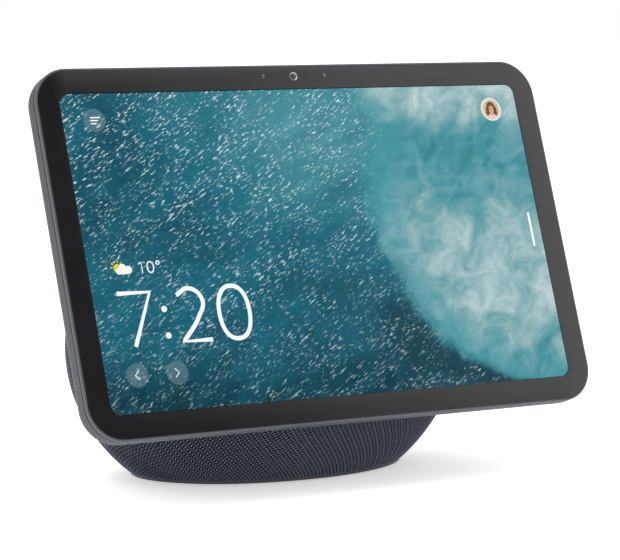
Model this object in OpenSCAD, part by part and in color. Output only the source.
// Smart display: a tilted touch screen on a fabric covered speaker pod.
// Frame: +Z up, the screen faces -Y, origin on the table under the middle of the pod.
// Display parts are drawn in the display's own frame (x right, y up the screen, z out of the
// glass, z = 0 at the glass surface) and put in place by on_display().

/* [Display] */
// Width of the display
disp_w = 207.7; // [190:0.1:260]
// Height of the display, along its slope
disp_h = 131.2; // [122:0.1:165]
// Thickness of the display, glass to back
disp_t = 11; // [10.6:0.1:14]
// Corner radius of the display's outline
corner_r = 13; // [11:0.5:18]
// Lean of the display from upright
tilt = 20; // [12:1:26]
// Border from the outline to the picture
border = 9; // [8:0.1:12]
// Height of the middle of the glass above the table
glass_h = 87.7; // [84:0.1:96]
// How far the middle of the glass is in front of the pod's centre
glass_fwd = 40.5; // [38:0.1:46]

/* [Display layers] */
// Cover glass thickness
glass_t = 0.7; // [0.5:0.05:1]
// Adhesive thickness
glue_t = 0.15; // [0.1:0.05:0.2]
// Panel thickness
panel_t = 1.0; // [0.8:0.1:1.2]
// Backlight thickness
light_t = 2.0; // [1.6:0.1:2.2]
// Mid plate thickness
plate_t = 0.8; // [0.6:0.1:1]
// Circuit board thickness
pcb_t = 1.0; // [0.8:0.1:1.2]
// Rear housing wall
wall_t = 1.5; // [1.2:0.1:1.8]
// Radius of the rear housing's back edge
back_r = 6; // [4:0.5:7]
// Width of the rim that shows round the glass
rim_w = 0.7; // [0.5:0.1:1]
// Height of the rim
rim_h = 1.1; // [1:0.1:1.2]
// Parting line between the rim and the rear housing
part_gap = 0.6; // [0.4:0.1:0.8]

/* [Buttons] */
// Length of the volume buttons
key_len = 13; // [10:0.5:16]
// Length of the mute button
mute_len = 10; // [8:0.5:13]
// Width of every button
key_w = 2.2; // [1.8:0.1:2.4]
// How far a button stands proud
key_proud = 0.5; // [0.3:0.1:0.8]
// Travel of a button
key_travel = 0.4; // [0.2:0.1:0.4]

/* [Pod] */
// Half width of the pod's egg shape
pod_a = 78.9; // [74:0.1:95]
// Half depth of the pod's egg shape
pod_b = 51.8; // [50:0.1:63]
// Half height of the pod's egg shape
pod_c = 63.95; // [62:0.1:77]
// Height of the egg's middle above the table
pod_h = 48; // [46:0.1:52]
// Fabric thickness
fabric_t = 1.2; // [0.8:0.1:1.5]
// Pod shell wall
shell_t = 2.5; // [2:0.1:3]

/* [Speakers] */
// Outer radius of the woofer's flange
woofer_r = 34.5; // [28.5:0.5:36]
// Woofer cone travel each way
woofer_travel = 3; // [1:0.5:3]
// Outer radius of a side driver's flange
driver_r = 19.5; // [17:0.5:21]
// Side driver cone travel each way
driver_travel = 1.5; // [0.5:0.5:1.5]

/* [Base] */
// Foot pad thickness
foot_t = 1.6; // [1.4:0.1:2]
// Ballast thickness
ballast_t = 4; // [3:0.5:4.5]
// Radius of the power plug's recess
inlet_r = 5.6; // [5:0.1:6]

/* [Hidden] */

$fn = 48;
far = 400;             // larger than the whole display
hair = 0.1;            // clearance between parts that only lie together
slip = 0.25;           // clearance between parts that slide or clip together
hw = disp_w / 2;
hh = disp_h / 2;

// Depths below the glass surface, display frame
z_glass = -glass_t;
z_ledge = -glass_t - glue_t;
z_rim = -rim_h - hair;
z_house = z_rim - part_gap;
z_panel = z_glass - panel_t;
z_light = z_panel - light_t;
z_mid = z_light - slip;
z_mid_back = z_mid - plate_t;
post_h = 1.2;                        // standoff under the main board
z_pcb = z_mid_back - post_h;
z_pcb_back = z_pcb - pcb_t;
z_inner = -disp_t + wall_t;          // inside face of the rear housing's back

// Outlines, as distances in from the display's edge
ledge_in = 5;                        // inner edge of the ledge that carries the glass
skirt_gap = wall_t + slip;           // outer face of the frame's skirt
skirt_t = 1.2;
skirt_in = skirt_gap + skirt_t;
skirt_drop = 3;                      // how far the skirt reaches into the housing
panel_edge = border - 1.5;
light_edge = border - 1.8;
glass_edge = rim_w + hair;

// Camera and microphones, in the middle of the top border
cam_y = hh - 4.3;
cam_r = 1.55;
cam_w = 8;
cam_h = 5.4;
cam_d = 4.1;
mic_x = 12.8;
mic_w = 8;
mic_h = 3.4;
mic_hole_r = 0.5;
mic_y = hh - skirt_in - slip - mic_h / 2;

// Screws: head radius, head height, shank radius, pilot radius
tiny = [1.15, 0.7, 0.55, 0.6];       // side drivers
small = [1.8, 0.8, 0.8, 0.85];       // display inside
slim = [1.25, 0.9, 0.7, 0.75];       // woofer
medium = [2.4, 1.0, 1.2, 1.25];      // base
large = [2.75, 1.8, 1.45, 1.5];      // neck

// Mid plate fixings along the four sides
edge_post = 4.8;                     // post centre, in from the display's edge
post_r = 1.7;
ear_r = edge_post - skirt_in - hair - 0.15;
ear_len = light_edge - edge_post + 1;
mid_posts = [
  [-60, hh - edge_post], [60, hh - edge_post], [-60, -hh + edge_post], [60, -hh + edge_post],
  [-hw + edge_post, 35], [-hw + edge_post, -35], [hw - edge_post, -35]
];

// Main board
board_w = 104;
board_h = 46;
board_y = 27;
board_fix_x = board_w / 2 - 4;
board_fix_y = board_h / 2 - 4;
conn_h = 1.4;
conn_d = 3.5;

// Flat cables
flex_t = 0.2;
ribbon_t = 0.4;
ribbon_w = 20;
display_flex_x = -34;
display_flex_w = 22;

// Buttons, along the upper part of the right edge
key_z = z_house - 2;                 // middle of the buttons, behind the glass
keys = [["volume_up_button", 40, key_len], ["volume_down_button", 24.5, key_len],
        ["mute_button", 8, mute_len]];
key_flange_t = 1.6;
key_flange_grow = 1.2;               // flange beyond the cap, each end
key_flange_w = key_w + 1.4;
key_back = hw - wall_t - hair - key_flange_t;  // inner face of a button's flange
switch_tip = key_back - key_travel - hair;
switch_t = 0.65;
key_board_t = 0.8;
key_board_x = switch_tip - switch_t - key_board_t;
key_board_y0 = keys[2][1] - mute_len / 2 - 4;
key_board_y1 = keys[0][1] + key_len / 2 + 4;

// Neck bracket and its fixings, on the back of the display
neck_t = 2;
neck_x = 26;
pod_seam = disp_t + 0.3;             // the pod stops this far behind the glass surface
inner_a = pod_a - fabric_t - shell_t;  // inside of the pod's shell
inner_b = pod_b - fabric_t - shell_t;
inner_c = pod_c - fabric_t - shell_t;
neck_y0 = shell_low_edge(neck_x, -pod_seam) + 6;
neck_y1 = neck_y0 + 40;
neck_fix = [for (y = [30, 6], x = [-17, 17]) [x, neck_y0 + y]];
flange_t = 1.6;
flange_d = 14;
flange_fix = [for (y = [28, 10]) [neck_y0 + y, -21]];   // y and z of the screws through the flanges
slot_y = neck_y0 + 18;
slot_w = ribbon_w + 4;
slot_h = 7;

// Pod: base layers
base_z = 1;                          // underside of the base plate
step_z = 2.2;                        // where the shell and the fabric stand on the base plate
base_top = 3.5;
floor_z = base_top + ballast_t + 0.2;
floor_t = 2;
floor_top = floor_z + floor_t;
function inside(z) = sqrt(1 - pow((z - pod_h) / inner_c, 2));
function outside(z) = sqrt(1 - pow((z - pod_h) / pod_c, 2));
// How far the inside of the shell reaches along y at a height and along x
function room_y(x, z) = inner_b * sqrt(1 - pow(x / inner_a, 2) - pow((z - pod_h) / inner_c, 2));
function room_x(y, z) = inner_a * sqrt(1 - pow(y / inner_b, 2) - pow((z - pod_h) / inner_c, 2));
// Lowest y, in the display's frame, at which the inside of the shell meets the line at x and z
function shell_low_edge(x, z) =
  let (y0 = -glass_fwd - z * cos(tilt), z0 = glass_h + z * sin(tilt) - pod_h,
       a = pow(sin(tilt) / inner_b, 2) + pow(cos(tilt) / inner_c, 2),
       b = y0 * sin(tilt) / pow(inner_b, 2) + z0 * cos(tilt) / pow(inner_c, 2),
       c = pow(x / inner_a, 2) + pow(y0 / inner_b, 2) + pow(z0 / inner_c, 2) - 1)
  (-b - sqrt(b * b - a * c)) / a;
floor_a = inner_a * inside(floor_z) - 0.4;
floor_b = inner_b * inside(floor_z) - 0.4;
base_fix = [[-34, -16], [34, -16], [-34, 16], [34, 16]];
base_post_r = 3.2;

// Speaker walls of the chassis
baffle_t = 2.5;
woofer_wall_r = woofer_r + 1.3;
woofer_z = floor_top + 9.5 + woofer_wall_r;
woofer_foot_x = 18;                  // outer edge of the two feet under the woofer's wall
woofer_wall_y = min(room_y(0, woofer_z + woofer_wall_r), room_y(woofer_foot_x, floor_z)) - 1.3;
woofer_y = woofer_wall_y - baffle_t; // face that the woofer's flange is screwed to
driver_wall_r = driver_r + 4.5;
driver_wall_t = 2;
driver_y = -5;
driver_z = pod_h;
stem = 12;                           // half width of the foot under a side wall
driver_wall_x = room_x(stem - driver_y, floor_z + floor_t / 2) - 0.4;  // outer face of the side walls
driver_x = driver_wall_x - driver_wall_t;
upright_t = 3;
upright_x = neck_x - flange_t - hair - upright_t;

// Power inlet, low at the back
jack_w = 9;
jack_h = 7;
jack_d = 13.6;
supply_z = floor_top + 0.2;
supply_t = 1.2;
inlet_z = supply_z + supply_t + jack_h / 2;
inlet_tube_r = inlet_r + 1.4;
inlet_face_y = pod_b * sqrt(1 - pow((inlet_z - pod_h) / pod_c, 2)) + 0.3;
inlet_slope = atan((pod_h - inlet_z) / pow(pod_c, 2) * pow(pod_b, 2) / inlet_face_y);
inlet_depth = 9.4;                   // mouth to the back of the bezel, on the axis
inlet_back_y = inlet_face_y - inlet_depth;
inlet_wall = 1.5;
barrel_r = 2.85;
pin_r = 1.0;

// A point of the display frame, seen from the side, as [Y, Z] of the whole object
function side(y, z) = [
  -glass_fwd + y * sin(tilt) - z * cos(tilt), glass_h + y * cos(tilt) + z * sin(tilt)
];
// Points of an arc
function arc(cx, cy, r, a0, a1, n) = [
  for (i = [0:n]) [cx + r * cos(a0 + (a1 - a0) * i / n), cy + r * sin(a0 + (a1 - a0) * i / n)]
];
// A rectangle with round corners, centred
function round_rect(w, h, r, n = 16) = concat(
  arc(w / 2 - r, h / 2 - r, r, 0, 90, n), arc(r - w / 2, h / 2 - r, r, 90, 180, n),
  arc(r - w / 2, r - h / 2, r, 180, 270, n), arc(w / 2 - r, r - h / 2, r, 270, 360, n)
);
function ellipse(a, b, n = 96) = [for (i = [0:n - 1]) [a * cos(360 * i / n), b * sin(360 * i / n)]];
// A bent strip of thickness t along a path, as one outline
function unit(v) = v / norm(v);
function bend(p, i) =
  let (a = unit(p[max(i, 1)] - p[max(i, 1) - 1]),
       b = unit(p[min(i, len(p) - 2) + 1] - p[min(i, len(p) - 2)]), m = unit(a + b))
  [-m[1], m[0]] / (a * m);
function strip(p, t) = concat(
  [for (i = [0:len(p) - 1]) p[i] + bend(p, i) * t / 2],
  [for (i = [len(p) - 1:-1:0]) p[i] - bend(p, i) * t / 2]
);

module on_display() translate([0, -glass_fwd, glass_h]) rotate([90 - tilt, 0, 0]) children();
// A layer of the display between two depths, in from the edge by e
module layer(e, z0, z1, r = 2) {
  translate([0, 0, min(z0, z1)]) linear_extrude(abs(z1 - z0))
    polygon(round_rect(disp_w - 2 * e, disp_h - 2 * e, max(r, corner_r - e)));
}
module block(x0, x1, y0, y1, z0, z1) {
  translate([min(x0, x1), min(y0, y1), min(z0, z1)])
    cube([abs(x1 - x0), abs(y1 - y0), abs(z1 - z0)]);
}
// A profile carried round the display's outline, x measured out from the corners' centres
module around() {
  for (q = [0:3]) rotate(90 * q) {
    half = q % 2 == 0 ? [hw, hh] : [hh, hw];
    corner = [half[0] - corner_r, half[1] - corner_r, 0];
    translate(corner) rotate_extrude(angle = 90, $fn = 64) children();
    translate(corner) rotate([90, 0, 0]) linear_extrude(2 * corner[1]) children();
  }
}
// A screw with its head above z = 0 and its shank below
module screw(s, length) {
  difference() {
    cylinder(r = s[0], h = s[1]);
    translate([0, 0, s[1] * 0.45]) cylinder(r = s[0] * 0.45, h = s[1], $fn = 6);
  }
  translate([0, 0, -length]) cylinder(r = s[2], h = length);
}
// The back of the display faces -z: screws driven from there
module screw_from_back(p, z, s, length) translate([p[0], p[1], z]) rotate([180, 0, 0]) screw(s, length);

// Egg shape of the pod, in from the fabric's surface by d
module egg(d) {
  hull() translate([0, 0, pod_h]) scale([pod_a - d, pod_b - d, pod_c - d]) sphere(r = 1, $fn = 44);
}
module below_table_cut(z) translate([-far / 2, -far / 2, z - far]) cube(far);
module display_side_cut(gap) {
  on_display() translate([-far / 2, -far / 2, -gap]) cube(far);
}
module along_inlet(y) translate([0, y, inlet_z]) rotate([-90, 0, 0]) children();

// ---- Display ----

module cover_glass() {
  soft = 0.12;                       // softened front edge
  color([0.03, 0.03, 0.04]) on_display() {
    layer(glass_edge, z_glass, -soft);
    layer(glass_edge + soft, -soft, 0);
  }
}

module glass_adhesive() {
  color([0.1, 0.1, 0.1]) on_display() difference() {
    layer(glass_edge + 0.3, z_ledge, z_glass);
    layer(ledge_in - 0.3, z_ledge - 1, z_glass + 1);
    block(-cam_w / 2 - 0.5, cam_w / 2 + 0.5, cam_y - far / 2, cam_y + cam_h / 2 + 0.3, -2, 0);
    for (s = [-1, 1]) translate([s * mic_x, cam_y, -2]) cylinder(r = mic_hole_r + 0.4, h = 3);
  }
}

module lcd_panel() {
  color([0.11, 0.37, 0.45]) on_display() layer(panel_edge, z_panel, z_glass);
}

module backlight_unit() {
  color("white") on_display() layer(light_edge, z_light, z_panel);
}

// Rim, ledge and skirt of the frame, in section
module frame_profile() {
  out = corner_r;
  polygon([
    [out - rim_w, -hair], [out - 0.15, -hair], [out, -hair - 0.15], [out, z_rim],
    [out - part_gap, z_rim], [out - part_gap, z_house], [out - skirt_gap, z_house],
    [out - skirt_gap, z_house - skirt_drop], [out - skirt_in, z_house - skirt_drop],
    [out - skirt_in, z_house], [out - ledge_in, z_house], [out - ledge_in, z_ledge],
    [out - rim_w, z_ledge]
  ]);
}

module display_frame() {
  color([0.32, 0.33, 0.36]) on_display() difference() {
    union() {
      around() frame_profile();
      for (p = mid_posts) translate([p[0], p[1], z_mid]) cylinder(r = post_r, h = z_house - z_mid);
    }
    for (p = mid_posts) translate([p[0], p[1], z_mid - 1]) cylinder(r = small[3], h = 3);
    block(-cam_w / 2 - 0.3, cam_w / 2 + 0.3, cam_y - far / 2 + 100, cam_y + cam_h / 2 + 0.2, -far, 1);
    for (s = [-1, 1]) translate([s * mic_x, cam_y, -3]) cylinder(r = mic_hole_r, h = 3);
    block(hw - skirt_in - 1, hw - skirt_gap + 0.1, key_board_y0 - 1, key_board_y1 + 1,
          z_house - skirt_drop - 1, z_house);
  }
}

module mid_plate() {
  color("silver") on_display() difference() {
    union() {
      layer(light_edge + 0.2, z_mid_back, z_mid);
      for (p = mid_posts) {
        inward = abs(p[0]) > hw - 10 ? [-sign(p[0]), 0] : [0, -sign(p[1])];
        wide = ear_r * [abs(inward[1]), abs(inward[0])];
        end = p + ear_len * inward;
        translate([p[0], p[1], z_mid_back]) cylinder(r = ear_r, h = plate_t);
        block(p[0] - wide[0], end[0] + wide[0], p[1] - wide[1], end[1] + wide[1], z_mid_back, z_mid);
      }
      for (sx = [-1, 1], sy = [-1, 1])
        translate([sx * board_fix_x, board_y + sy * board_fix_y, z_pcb]) cylinder(r = 2.2, h = post_h);
    }
    for (p = mid_posts) translate([p[0], p[1], z_mid_back - 1]) cylinder(r = 1, h = 4);
    for (sx = [-1, 1], sy = [-1, 1])
      translate([sx * board_fix_x, board_y + sy * board_fix_y, z_pcb - 1]) cylinder(r = small[3], h = 4);
  }
}

module mid_plate_screws() {
  color("gray") on_display() for (p = mid_posts) screw_from_back(p, z_mid_back, small, 2.2);
}

// Wall, rounded back edge and a band of the back of the rear housing, in section
module housing_profile() {
  back = -disp_t;
  cx = corner_r - back_r;
  cz = back + back_r;
  polygon(concat(
    [[0, back]], arc(cx, cz, back_r, -90, 0, 12), [[corner_r, z_house], [corner_r - wall_t, z_house]],
    arc(cx, cz, back_r - wall_t, 0, -90, 12), [[0, z_inner]]
  ));
}

module rear_housing() {
  boss_h = z_mid_back - 0.8 - z_inner;
  color([0.37, 0.38, 0.4]) on_display() difference() {
    union() {
      around() housing_profile();
      block(corner_r - hw, hw - corner_r, corner_r - hh, hh - corner_r, -disp_t, z_inner);
      for (p = neck_fix) translate([p[0], p[1], -disp_t]) cylinder(r = 3.4, h = wall_t + boss_h);
    }
    for (p = neck_fix) translate([p[0], p[1], -disp_t - 1]) cylinder(r = large[3], h = wall_t + boss_h);
    block(-slot_w / 2, slot_w / 2, slot_y - slot_h / 2, slot_y + slot_h / 2, -disp_t - 1, z_inner + 1);
    for (k = keys) translate([hw - wall_t - 1, k[1], key_z]) rotate([90, 0, 90])
      linear_extrude(wall_t + 2) polygon(round_rect(k[2] + 0.4, key_w + 0.4, (key_w + 0.4) / 2 - 0.01));
  }
}

module camera_module() {
  color([0.08, 0.08, 0.08]) on_display() difference() {
    block(-cam_w / 2, cam_w / 2, cam_y - cam_h / 2, cam_y + cam_h / 2, z_ledge - cam_d, z_ledge);
    translate([0, cam_y, z_ledge - 1.2]) cylinder(r = cam_r + 0.05, h = 3);
  }
}

module camera_lens() {
  color([0.1, 0.12, 0.3]) on_display() {
    translate([0, cam_y, z_ledge - 1.2]) cylinder(r = cam_r, h = 1);
    translate([0, cam_y, z_ledge - 0.2]) cylinder(r = cam_r - 0.5, h = 0.2);
  }
}

module microphone(s) {
  can = [3.8, 2.9, 1];
  color([0.75, 0.7, 0.4]) on_display() translate([s * mic_x, mic_y, z_house - 0.8]) {
    difference() {
      translate([-mic_w / 2, -mic_h / 2, 0]) cube([mic_w, mic_h, 0.8]);
      translate([0, cam_y - mic_y, -1]) cylinder(r = mic_hole_r, h = 3);
    }
    translate([-can[0] / 2, -can[1] / 2, -can[2]]) cube(can);
  }
}
module microphone_left() microphone(-1);
module microphone_right() microphone(1);

// Main board with its cable connectors on the back
module main_board() {
  y0 = board_y - board_h / 2;
  y1 = board_y + board_h / 2;
  color([0.05, 0.3, 0.2]) on_display() difference() {
    union() {
      block(-board_w / 2, board_w / 2, y0, y1, z_pcb_back, z_pcb);
      for (c = [[0, ribbon_w], [display_flex_x, display_flex_w]])
        block(c[0] - c[1] / 2 - 1, c[0] + c[1] / 2 + 1, y0 + 1.5, y0 + 1.5 + conn_d,
              z_pcb_back - conn_h, z_pcb_back);
      block(-3.5, 3.5, y1 - 1.5 - conn_d, y1 - 1.5, z_pcb_back - conn_h, z_pcb_back);
      block(board_w / 2 - 6, board_w / 2 - 2.5, board_y - 5, board_y + 5, z_pcb_back - conn_h, z_pcb_back);
    }
    for (sx = [-1, 1], sy = [-1, 1])
      translate([sx * board_fix_x, board_y + sy * board_fix_y, z_pcb_back - 1]) cylinder(r = 1.1, h = 4);
  }
}

module board_screws() {
  color("gray") on_display() for (sx = [-1, 1], sy = [-1, 1])
    screw_from_back([sx * board_fix_x, board_y + sy * board_fix_y], z_pcb_back, small, 2.6);
}

// The chips sit on the back of the main board; x, y and size of each
shield_w = 28;
shield_t = 0.3;
shield_h = 1.8;
chip_h = 1.1;
module processor() {
  color([0.12, 0.12, 0.13]) on_display()
    translate([-7, board_y - 7, z_pcb_back - chip_h]) cube([14, 14, chip_h]);
}
module thermal_pad() {
  color([0.6, 0.65, 0.8]) on_display() translate([-7, board_y - 7, z_pcb_back - shield_h + shield_t])
    cube([14, 14, shield_h - shield_t - chip_h]);
}
module can(x, y, w, h, d) {
  on_display() difference() {
    block(x - w / 2, x + w / 2, y - h / 2, y + h / 2, z_pcb_back - d, z_pcb_back);
    block(x - w / 2 + shield_t, x + w / 2 - shield_t, y - h / 2 + shield_t, y + h / 2 - shield_t,
          z_pcb_back - d + shield_t, z_pcb_back + 1);
  }
}
module processor_shield() color("silver") can(0, board_y, shield_w, shield_w, shield_h);
module radio_shield() color("silver") can(28, board_y + 4, 18, 16, 1.5);
module memory_chips() {
  color([0.12, 0.12, 0.13]) on_display() for (y = [-6, 6])
    translate([-30, board_y + y - 4.5, z_pcb_back - 0.9]) cube([11, 9, 0.9]);
}

module antenna(s) {
  color([0.7, 0.5, 0.2]) on_display() translate([s * 62 - 17, hh - 18, z_inner]) cube([34, 9, 0.3]);
}
module antenna_left() antenna(-1);
module antenna_right() antenna(1);

module button_board() {
  color([0.05, 0.3, 0.2]) on_display() block(key_board_x, key_board_x + key_board_t,
    key_board_y0, key_board_y1, key_z - 3.9, key_z + 1.5);
}

module button_switches() {
  plunger_r = 0.9;
  color("gray") on_display() for (k = keys) translate([key_board_x + key_board_t, k[1], key_z]) {
    translate([0, -1.6, -1.3]) cube([0.4, 3.2, 2.6]);
    rotate([0, 90, 0]) cylinder(r = plunger_r, h = switch_t);
  }
}

// A button: cap through the housing's wall, flange behind it
module edge_button(k) {
  color([0.3, 0.31, 0.33]) on_display() translate([0, k[1], key_z]) {
    translate([key_back, 0, 0]) rotate([90, 0, 90]) linear_extrude(key_flange_t)
      polygon(round_rect(k[2] + 2 * key_flange_grow, key_flange_w, 1));
    translate([key_back + key_flange_t, 0, 0]) rotate([90, 0, 90])
      linear_extrude(wall_t + hair + key_proud) polygon(round_rect(k[2], key_w, key_w / 2 - 0.01));
  }
}
module volume_up_button() edge_button(keys[0]);
module volume_down_button() edge_button(keys[1]);
module mute_button() edge_button(keys[2]);

// A strip in the side view of the display frame, extruded along x
module side_strip(path, x, w, t) {
  on_display() translate([x - w / 2, 0, 0]) rotate([90, 0, 90]) linear_extrude(w) polygon(strip(path, t));
}

module display_flex() {
  y_end = board_y - board_h / 2;
  y_low = -hh + panel_edge - 1.1;
  z_run = z_mid_back - 0.5;
  color([0.75, 0.5, 0.15]) side_strip([
    [-hh + panel_edge, z_panel + panel_t / 2], [y_low, z_panel + panel_t / 2], [y_low, z_run],
    [y_end - 2, z_run], [y_end - 1, z_pcb_back - 0.7], [y_end + 1.5, z_pcb_back - 0.7]
  ], display_flex_x, display_flex_w, flex_t);
}

module camera_flex() {
  y_end = board_y + board_h / 2;
  z_cam = z_ledge - cam_d - flex_t / 2;
  color([0.75, 0.5, 0.15]) side_strip([
    [cam_y + 1, z_cam], [y_end + 2.5, z_cam], [y_end + 1, z_pcb_back - 0.7],
    [y_end - 1.5, z_pcb_back - 0.7]
  ], 0, 5, flex_t);
}

module button_flex() {
  color([0.75, 0.5, 0.15]) on_display() block(board_w / 2 - 2.5, key_board_x, board_y - 4, board_y + 4,
    z_pcb_back - 0.7 - flex_t / 2, z_pcb_back - 0.7 + flex_t / 2);
}

// ---- Neck ----

module neck_bracket() {
  z0 = -disp_t - neck_t;
  color("lightgray") on_display() difference() {
    union() {
      block(-neck_x, neck_x, neck_y0, neck_y1, z0, -disp_t);
      for (s = [-1, 1]) block(s * neck_x, s * (neck_x - flange_t), neck_y0 + 4, neck_y1 - 4,
                              z0 - flange_d, z0);
    }
    for (p = neck_fix) translate([p[0], p[1], z0 - 1]) cylinder(r = large[3] + 0.15, h = neck_t + 2);
    block(-slot_w / 2, slot_w / 2, slot_y - slot_h / 2, slot_y + slot_h / 2, z0 - 1, 0);
    for (f = flange_fix) translate([-far / 2, f[0], f[1]]) rotate([0, 90, 0])
      cylinder(r = large[3] + 0.15, h = far);
  }
}

// The four screws that hold the neck bracket on the display's rear housing
module housing_screws() {
  color("gray") on_display() for (p = neck_fix) screw_from_back(p, -disp_t - neck_t, large, 6);
}

// The four screws that hold the bracket's flanges on the chassis uprights
module neck_screws() {
  color("gray") on_display() for (s = [-1, 1], f = flange_fix)
    translate([s * neck_x, f[0], f[1]]) rotate([0, 90 * s, 0]) screw(large, flange_t + upright_t);
}

// ---- Pod ----

// What leaves the pod's skin through its openings: the inlet and nothing else
module inlet_cut(r) along_inlet(inlet_back_y - 6) cylinder(r = r, h = 40);

module fabric_sleeve() {
  color([0.17, 0.19, 0.25]) difference() {
    egg(0);
    egg(fabric_t);
    below_table_cut(step_z);
    display_side_cut(pod_seam);
    inlet_cut(inlet_tube_r + 0.3);
  }
}

// Slots of a sound grille within a circle, cut along z
module grille(r, count, slot) {
  pitch = 2 * r / count;
  for (i = [0:count - 1]) {
    y = (i + 0.5) * pitch - r;
    half = sqrt(r * r - y * y);
    translate([-half, y - slot / 2, 0]) cube([2 * half, slot, 60]);
  }
}

module pod_shell() {
  color([0.1, 0.1, 0.11]) difference() {
    egg(fabric_t);
    egg(fabric_t + shell_t);
    below_table_cut(step_z);
    display_side_cut(pod_seam);
    inlet_cut(inlet_tube_r + 0.15);
    translate([0, woofer_wall_y + 2, woofer_z]) rotate([-90, 0, 0]) grille(woofer_r - 8, 7, 3);
    for (s = [-1, 1]) translate([s * (driver_wall_x + 2), driver_y, driver_z]) rotate([0, 90 * s, 0])
      grille(driver_r - 4, 4, 3);
  }
}

// Where the woofer's and the side drivers' screws go, as angles round the driver
woofer_fix = [45, 135, 225, 315];
woofer_fix_r = woofer_r - 1.4;
driver_fix = [90, 210, 330];
driver_fix_r = driver_r - 1.2;

module at_woofer() translate([0, woofer_y, woofer_z]) rotate([-90, 0, 0]) children();
module at_driver(s) translate([s * driver_x, driver_y, driver_z]) rotate([0, 90 * s, 0]) children();
module round_fix(angles, r) for (a = angles) rotate(a) translate([r, 0, 0]) children();

module speaker_chassis() {
  foot = [-28, -8];
  color([0.13, 0.13, 0.14]) difference() {
    union() {
      translate([0, 0, floor_z]) linear_extrude(floor_t) polygon(ellipse(floor_a, floor_b));
      for (p = base_fix) translate([p[0], p[1], floor_z]) cylinder(r = base_post_r, h = 8);
      at_woofer() cylinder(r = woofer_wall_r, h = baffle_t);
      for (s = [-1, 1]) {
        block(s * 10, s * woofer_foot_x, woofer_y, woofer_wall_y,
              floor_z + floor_t / 2, woofer_z - woofer_r + 4);
        at_driver(s) cylinder(r = driver_wall_r, h = driver_wall_t);
        block(s * driver_x, s * driver_wall_x, driver_y - stem, driver_y + stem,
              floor_z + floor_t / 2, driver_z - driver_wall_r + 6);
        translate([s > 0 ? upright_x : -upright_x - upright_t, 0, 0]) rotate([90, 0, 90])
          linear_extrude(upright_t) polygon([
            side(neck_y1 - 4, -disp_t - neck_t - 0.4), side(neck_y1 - 4, -disp_t - neck_t - flange_d),
            side(-30, -disp_t - neck_t - flange_d), [foot[1], floor_top - 1], [foot[0], floor_top - 1],
            side(neck_y0, -disp_t - neck_t - 0.4)
          ]);
      }
    }
    for (p = base_fix) translate([p[0], p[1], floor_z - 1]) cylinder(r = medium[3], h = 8);
    at_woofer() translate([0, 0, -1]) {
      cylinder(r = woofer_r - 4.5, h = baffle_t + 2);
      round_fix(woofer_fix, woofer_fix_r) cylinder(r = slim[3], h = baffle_t + 2);
    }
    for (s = [-1, 1]) at_driver(s) translate([0, 0, -1]) {
      cylinder(r = driver_r - 3, h = driver_wall_t + 2);
      round_fix(driver_fix, driver_fix_r) cylinder(r = tiny[3], h = driver_wall_t + 2);
    }
    on_display() for (f = flange_fix) translate([-far / 2, f[0], f[1]]) rotate([0, 90, 0])
      cylinder(r = large[3], h = far);
    along_inlet(inlet_back_y - slip) cylinder(r = inlet_tube_r + slip, h = 20);
  }
}

// Speaker drivers are drawn with the flange's mounting face at z = 0 and the sound going to +z.
// Woofer radii and depths
coil_r = 9.05;
coil_t = 0.5;
coil_z = -26;
coil_len = 15;
magnet_floor = coil_z - woofer_travel - 2;
cone_edge = woofer_r - 9.3;
cone_z = -3;
ledge_z = -14;
basket_z = -18;

module woofer_basket() {
  foot_r = 22;
  color([0.2, 0.2, 0.22]) at_woofer() difference() {
    rotate_extrude($fn = 72) polygon([
      [woofer_r - 4, -2], [woofer_r - 4, -0.9], [woofer_r - 2.8, -0.9], [woofer_r - 2.8, 0], [woofer_r, 0],
      [woofer_r, -2], [woofer_r - 2.8, -2], [foot_r + 1.8, ledge_z], [foot_r, basket_z],
      [foot_r - 2, basket_z - 1.5], [coil_r + 3, basket_z - 1.5], [coil_r + 3, basket_z],
      [foot_r - 2, basket_z], [foot_r - 1, ledge_z - 1], [foot_r - 3, ledge_z - 1],
      [foot_r - 3, ledge_z], [foot_r, ledge_z]
    ]);
    for (a = [0:90:270]) rotate(a) translate([foot_r - 4, -7, ledge_z + 1]) cube([20, 14, 8]);
    translate([0, 0, -3]) round_fix(woofer_fix, woofer_fix_r) cylinder(r = slim[3] + hair, h = 4);
  }
}

module woofer_magnet() {
  top = basket_z - 1.5;
  pole = coil_r - 0.4;
  gap = coil_r + coil_t + 0.5;
  color([0.35, 0.35, 0.38]) at_woofer() rotate_extrude($fn = 72) polygon([
    [0, magnet_floor - 3], [21, magnet_floor - 3], [21, magnet_floor], [22.5, magnet_floor],
    [22.5, top - 2.5], [20, top - 2.5], [20, top], [gap, top], [gap, top - 2.5], [12, top - 2.5],
    [12, magnet_floor], [pole, magnet_floor], [pole, top], [0, top]
  ]);
}

module woofer_coil() {
  color([0.7, 0.4, 0.2]) at_woofer() translate([0, 0, coil_z]) difference() {
    cylinder(r = coil_r + coil_t, h = coil_len, $fn = 72);
    translate([0, 0, -1]) cylinder(r = coil_r, h = coil_len + 2, $fn = 72);
  }
}

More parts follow.
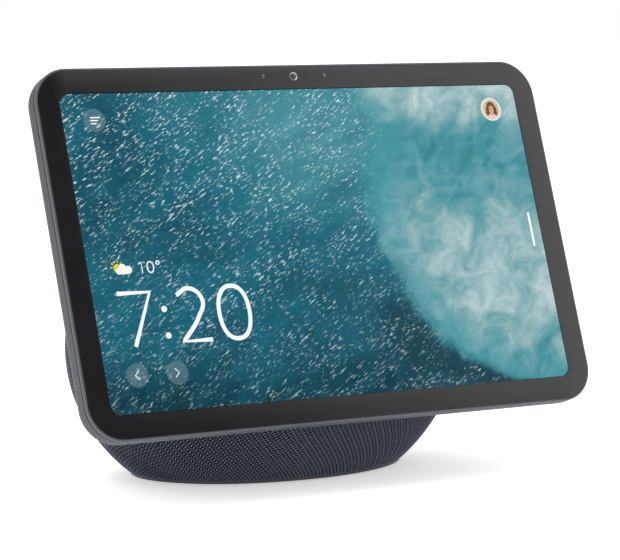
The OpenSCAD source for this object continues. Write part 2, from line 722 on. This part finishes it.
module woofer_cone() {
  foot_r = coil_r + coil_t;
  slope = (cone_z - 0.8 + 12) / (cone_edge - 1.6 - foot_r);
  cap_foot_z = 3 * slope - 12 + 0.65;
  cap_z = -26;                       // centre of the dust cap's curve
  cap_r = norm([foot_r + 3, cap_z - cap_foot_z]);
  color([0.15, 0.15, 0.16]) at_woofer() rotate_extrude($fn = 72) polygon(concat(
    [[foot_r, -12], [cone_edge - 1.6, cone_z - 0.8], [cone_edge, cone_z - 0.8], [cone_edge, cone_z],
     [cone_edge - 1.4, cone_z], [foot_r + 3, cap_foot_z]],
    arc(0, cap_z, cap_r, atan((cap_foot_z - cap_z) / (foot_r + 3)), 90, 10),
    [[0, cap_z + cap_r - 0.6], [foot_r + 1, -11], [foot_r, -11]]
  ));
}

// Half roll between an inner lip on the cone and an outer lip that ends at r_end
module surround_profile(r0, r1, r_end, z_in, z_out, t) {
  n = 12;
  roll = [for (i = [0:n]) [
    (r0 + r1) / 2 - (r1 - r0) / 2 * cos(180 * i / n),
    z_in + (z_out - z_in) * i / n + (r1 - r0) / 2 * sin(180 * i / n)
  ]];
  translate([0, t / 2]) polygon(strip(concat([[r0 - 1.2, z_in]], roll, [[r_end, z_out]]), t));
}

module woofer_surround() {
  color([0.05, 0.05, 0.05]) at_woofer() rotate_extrude($fn = 72)
    surround_profile(cone_edge, woofer_r - 5, woofer_r - 3, cone_z, -0.9, 0.6);
}

module woofer_spider() {
  foot_r = coil_r + coil_t;
  waves = 4;
  n = 32;
  r1 = 20.5;
  top = [for (i = [0:n]) [foot_r + (19 - foot_r) * i / n, -13.4 + 0.45 * sin(360 * waves * i / n)]];
  color([0.75, 0.6, 0.3]) at_woofer() rotate_extrude($fn = 72) polygon(concat(
    top, [[r1, -13.4], [r1, ledge_z], [19, ledge_z]], [for (i = [n:-1:0]) top[i] - [0, 0.5]]
  ));
}

module woofer_screws() {
  color("gray") at_woofer() rotate([180, 0, 0]) translate([0, 0, 2])
    round_fix([for (a = woofer_fix) -a], woofer_fix_r) screw(slim, 4);
}

// Side drivers
dcoil_r = 5.2;
dcoil_z = -12.5;
dcone_edge = driver_r - 6.2;
dback_z = -9.5;
dmagnet_floor = dcoil_z - driver_travel - 0.5;

module driver_frame(s) {
  color([0.2, 0.2, 0.22]) at_driver(s) difference() {
    rotate_extrude($fn = 64) polygon([
      [driver_r - 3.2, -1.6], [driver_r - 3.2, -0.8], [driver_r - 2, -0.8], [driver_r - 2, 0], [driver_r, 0],
      [driver_r, -1.6], [driver_r - 2.4, -1.6], [12, dback_z], [6.8, dback_z], [6.8, dback_z + 1],
      [11, dback_z + 1]
    ]);
    translate([0, 0, -3]) round_fix(driver_fix, driver_fix_r) cylinder(r = tiny[3] + hair, h = 4);
  }
}

module driver_magnet(s) {
  color([0.35, 0.35, 0.38]) at_driver(s) rotate_extrude($fn = 64) polygon([
    [0, dmagnet_floor - 2.5], [12, dmagnet_floor - 2.5], [12, dback_z], [6.2, dback_z],
    [6.2, dmagnet_floor], [dcoil_r - 0.35, dmagnet_floor], [dcoil_r - 0.35, dback_z], [0, dback_z]
  ]);
}

// Cone, dust cap and voice coil of a side driver
module driver_cone(s) {
  foot_r = dcoil_r + 0.4;
  cap_r = norm([foot_r + 1, 8]);
  color([0.15, 0.15, 0.16]) at_driver(s) rotate_extrude($fn = 64) polygon(concat(
    [[dcoil_r, dcoil_z], [foot_r, dcoil_z], [foot_r, -6.4], [dcone_edge - 1, -2.9], [dcone_edge, -2.9],
     [dcone_edge, -2.3], [dcone_edge - 1.2, -2.3], [foot_r + 1, -5]],
    arc(0, -13, cap_r, atan(8 / (foot_r + 1)), 90, 8), [[0, -13 + cap_r - 0.5], [dcoil_r, -5.6]]
  ));
}

module driver_surround(s) {
  color([0.05, 0.05, 0.05]) at_driver(s) rotate_extrude($fn = 64)
    surround_profile(dcone_edge, driver_r - 3.6, driver_r - 2.1, -2.3, -0.8, 0.5);
}

module left_driver_frame() driver_frame(-1);
module left_driver_magnet() driver_magnet(-1);
module left_driver_cone() driver_cone(-1);
module left_driver_surround() driver_surround(-1);
module right_driver_frame() driver_frame(1);
module right_driver_magnet() driver_magnet(1);
module right_driver_cone() driver_cone(1);
module right_driver_surround() driver_surround(1);

module driver_screws() {
  color("gray") for (s = [-1, 1]) at_driver(s) translate([0, 0, -1.6]) rotate([180, 0, 0])
    round_fix([for (a = driver_fix) -a], driver_fix_r) screw(tiny, 3.4);
}

// ---- Power and base ----

jack_y1 = inlet_back_y;
supply_y1 = woofer_y - 0.5;
supply_y0 = -6;

// Supply board with the ribbon's connector, two capacitors and a coil
module power_board() {
  top = supply_z + supply_t;
  color([0.05, 0.3, 0.2]) {
    block(-21, 21, supply_y0, supply_y1, supply_z, top);
    block(-ribbon_w / 2 - 1, ribbon_w / 2 + 1, supply_y0 + 1, supply_y0 + 1 + conn_d, top, top + 2);
    for (x = [-14, 14]) translate([x, supply_y0 + 20, top]) cylinder(r = 4, h = 8);
    block(-4, 4, supply_y0 + 9, supply_y0 + 17, top, top + 5);
  }
}

module power_jack() {
  z0 = supply_z + supply_t;
  color([0.06, 0.06, 0.06]) {
    difference() {
      block(-jack_w / 2, jack_w / 2, jack_y1 - jack_d, jack_y1, z0, z0 + jack_h);
      along_inlet(jack_y1 - 9) cylinder(r = barrel_r, h = 12);
    }
    along_inlet(jack_y1 - 9.5) cylinder(r = pin_r, h = 9);
  }
}

// Lined recess for the power plug, cut off along the pod's surface
module inlet_bezel() {
  color([0.08, 0.08, 0.08]) difference() {
    along_inlet(inlet_back_y) cylinder(r = inlet_tube_r, h = inlet_depth + 8);
    along_inlet(inlet_back_y + inlet_wall) cylinder(r = inlet_r, h = inlet_depth + 8);
    along_inlet(inlet_back_y - 1) cylinder(r = barrel_r + 0.3, h = 4);
    translate([0, inlet_face_y, inlet_z]) rotate([-inlet_slope, 0, 0])
      translate([-20, 0, -20]) cube([40, 40, 40]);
  }
}

// Flat cable from the supply board, through the neck, to the main board
module pod_ribbon() {
  y_end = board_y - board_h / 2;
  z_low = supply_z + supply_t + 1;
  path = [
    [supply_y0 + 1, z_low], [supply_y0 - 8, z_low], [supply_y0 - 13, z_low + 6], [-26, 40],
    side(slot_y - 1, -disp_t - neck_t - 4), side(slot_y, -disp_t), side(slot_y + 3, z_inner + 0.8),
    side(y_end - 3, z_inner + 0.8), side(y_end - 1, z_pcb_back - 0.7), side(y_end + 1.5, z_pcb_back - 0.7)
  ];
  color([0.85, 0.85, 0.82]) translate([-ribbon_w / 2, 0, 0]) rotate([90, 0, 90])
    linear_extrude(ribbon_w) polygon(strip(path, ribbon_t));
}

module ballast_weight() {
  color([0.45, 0.45, 0.47]) difference() {
    translate([0, 0, base_top]) linear_extrude(ballast_t) polygon(ellipse(floor_a - 13, floor_b - 9));
    for (p = base_fix) translate([p[0], p[1], base_top - 1])
      cylinder(r = base_post_r + slip, h = ballast_t + 2);
  }
}

module base_plate() {
  pad = [pod_a * outside(base_z) - 5, pod_b * outside(base_z) - 5];
  color([0.12, 0.13, 0.16]) difference() {
    union() {
      translate([0, 0, base_z]) linear_extrude(step_z - base_z)
        polygon(ellipse(pod_a * outside(1.6) - 0.3, pod_b * outside(1.6) - 0.3));
      translate([0, 0, base_z]) linear_extrude(base_top - base_z)
        polygon(ellipse(inner_a * inside(step_z) - 0.8, inner_b * inside(step_z) - 0.8));
      for (p = base_fix) translate([p[0], p[1], base_z]) cylinder(r = base_post_r, h = floor_z - base_z);
    }
    translate([0, 0, base_z - 1]) linear_extrude(foot_t)
      polygon(ellipse(pad[0] + 0.2, pad[1] + 0.2));
    for (p = base_fix) translate([p[0], p[1], base_z]) {
      cylinder(r = medium[0] + 0.2, h = foot_t - base_z + medium[1]);
      cylinder(r = medium[3] + 0.15, h = 20);
    }
  }
}

module base_screws() {
  color("gray") for (p = base_fix) translate([p[0], p[1], foot_t + medium[1]]) rotate([180, 0, 0])
    screw(medium, 10);
}

module foot_pad() {
  color([0.05, 0.05, 0.05]) linear_extrude(foot_t)
    polygon(ellipse(pod_a * outside(base_z) - 5, pod_b * outside(base_z) - 5));
}

cover_glass();
glass_adhesive();
lcd_panel();
backlight_unit();
display_frame();
mid_plate();
mid_plate_screws();
rear_housing();
camera_module();
camera_lens();
microphone_left();
microphone_right();
main_board();
board_screws();
processor();
thermal_pad();
processor_shield();
radio_shield();
memory_chips();
antenna_left();
antenna_right();
button_board();
button_switches();
volume_up_button();
volume_down_button();
mute_button();
display_flex();
camera_flex();
button_flex();
neck_bracket();
housing_screws();
neck_screws();
fabric_sleeve();
pod_shell();
speaker_chassis();
woofer_basket();
woofer_magnet();
woofer_coil();
woofer_cone();
woofer_surround();
woofer_spider();
woofer_screws();
left_driver_frame();
left_driver_magnet();
left_driver_cone();
left_driver_surround();
right_driver_frame();
right_driver_magnet();
right_driver_cone();
right_driver_surround();
driver_screws();
power_board();
power_jack();
inlet_bezel();
pod_ribbon();
ballast_weight();
base_plate();
base_screws();
foot_pad();
